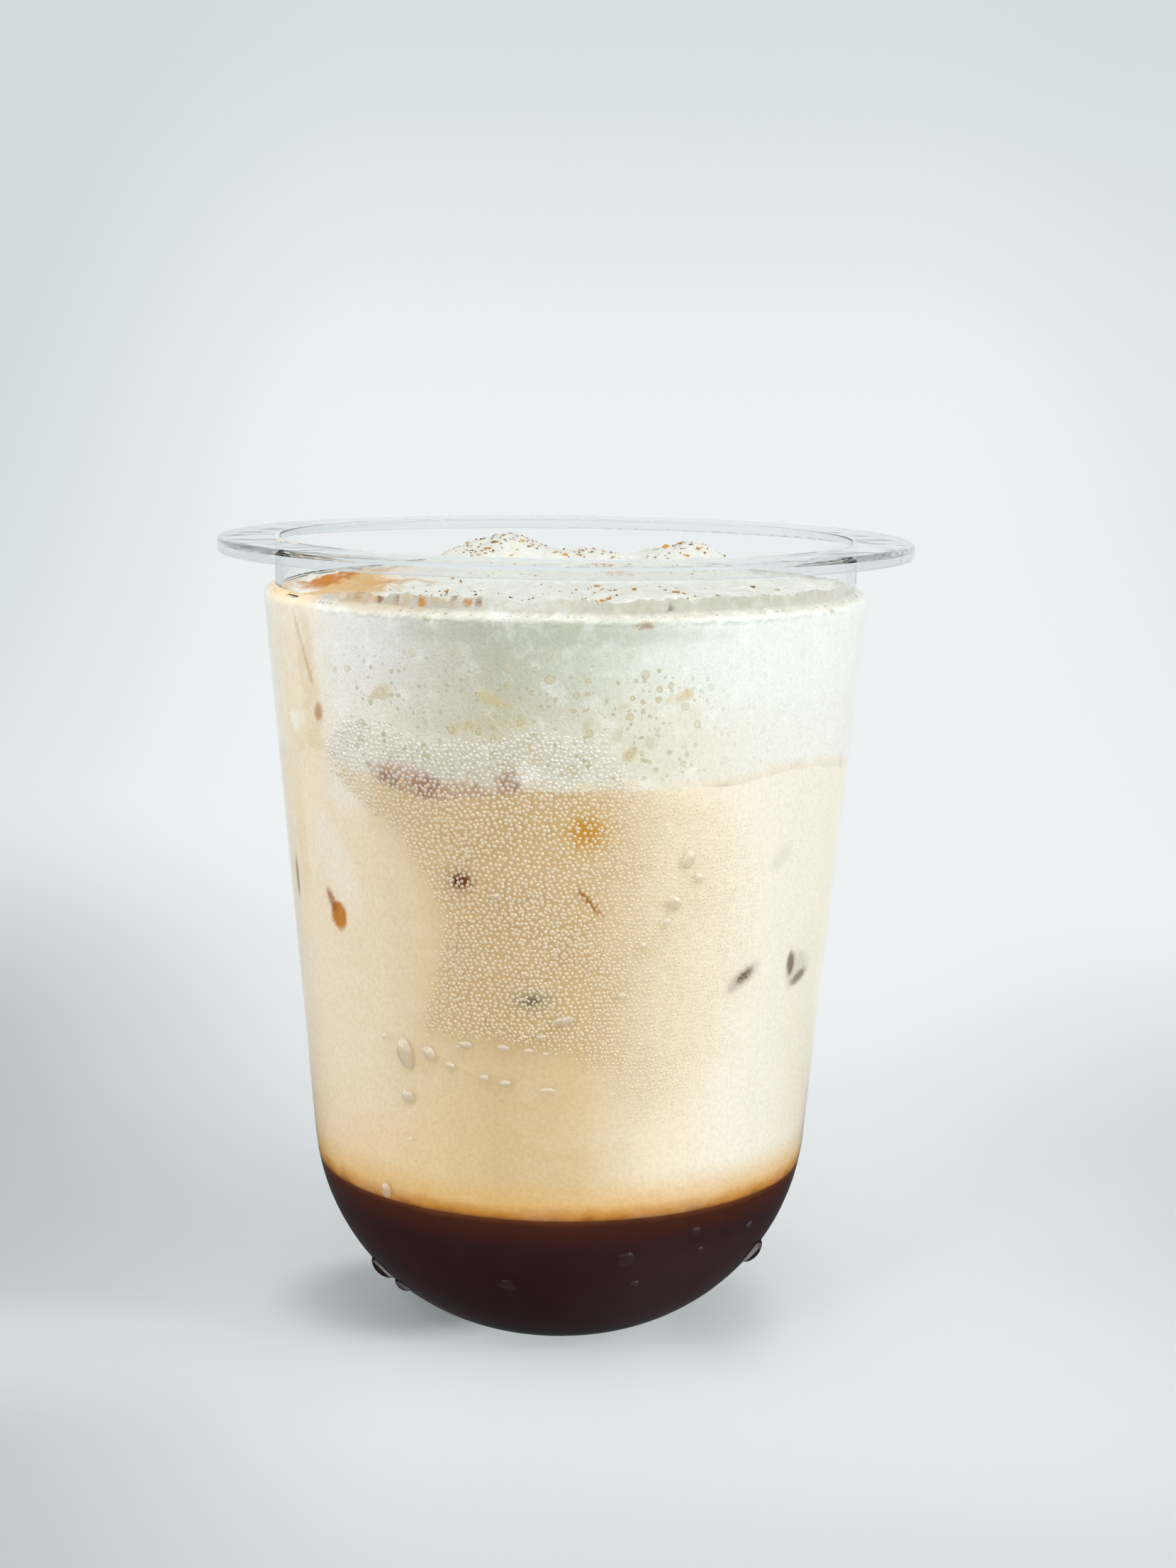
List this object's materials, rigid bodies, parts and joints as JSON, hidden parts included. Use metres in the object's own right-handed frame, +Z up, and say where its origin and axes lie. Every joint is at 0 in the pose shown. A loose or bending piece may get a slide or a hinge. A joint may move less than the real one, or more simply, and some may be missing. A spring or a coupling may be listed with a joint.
{
  "type": "iced mocha in clear cup",
  "caption": "Layered iced mocha in a round-bottomed clear plastic cup: chocolate, milk coffee and a mounded milk foam up to the rim.",
  "frame": {"origin": "middle of the flat foot, on the surface that the cup stands on", "axes": "+Z up along the cup's axis, -Y towards the side shown, +X to the right of it"},
  "size_m": [0.095, 0.095, 0.1098],
  "materials": {
    "clear_plastic": "clear, glossy, wet outside",
    "chocolate": "smooth dark drink behind plastic",
    "milk_coffee": "smooth milky drink behind plastic",
    "milk_foam": "fine foam, frothy and soft"
  },
  "bodies": {
    "root": {"cup": "clear_plastic", "chocolate": "chocolate", "milk_coffee": "milk_coffee", "foam": "milk_foam"}
  },
  "joints": []
}
